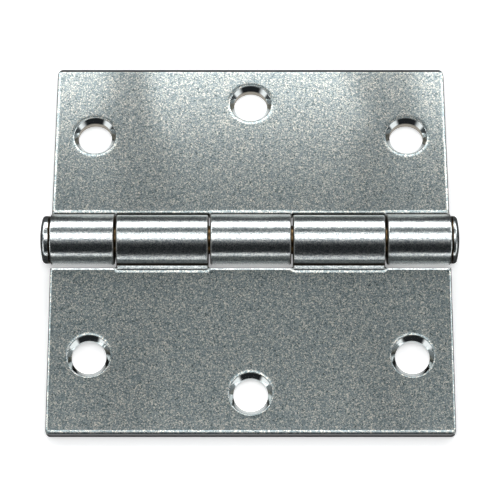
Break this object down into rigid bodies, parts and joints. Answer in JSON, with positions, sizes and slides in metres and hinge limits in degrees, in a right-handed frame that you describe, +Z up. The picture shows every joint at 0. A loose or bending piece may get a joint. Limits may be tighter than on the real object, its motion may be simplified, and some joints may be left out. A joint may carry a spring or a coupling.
{
  "type": "butt hinge",
  "caption": "Plated steel butt hinge with swaged leaves, countersunk screw holes and a button-headed loose pin.",
  "frame": {"origin": "on the surface that the open hinge lies on, under the middle of the pin axis", "axes": "+X along the pin towards the end plug, +Y towards the outer edge of the three-knuckle leaf, +Z up out of the faces of the leaves"},
  "size_m": [0.093, 0.0892, 0.0111],
  "materials": {
    "leaf_plating": "bright zinc plate on rolled sheet, finely speckled",
    "pin_plating": "bright zinc plate, smooth"
  },
  "bodies": {
    "fixed_leaf": {"three_knuckle_leaf": "leaf_plating", "end_plug": "pin_plating"},
    "swing_leaf": {"two_knuckle_leaf": "leaf_plating"},
    "pin": {"hinge_pin": "pin_plating"}
  },
  "joints": [
    {"name": "leaf_swing", "type": "hinge", "parent": "fixed_leaf", "child": "swing_leaf", "pos_m": [0, 0, 0.00553], "axis": [1, 0, 0], "range_deg": [-187.8, 110]},
    {"name": "pin_pull", "type": "slide", "parent": "fixed_leaf", "child": "pin", "axis": [-1, 0, 0], "range_m": [0, 0.085]}
  ]
}
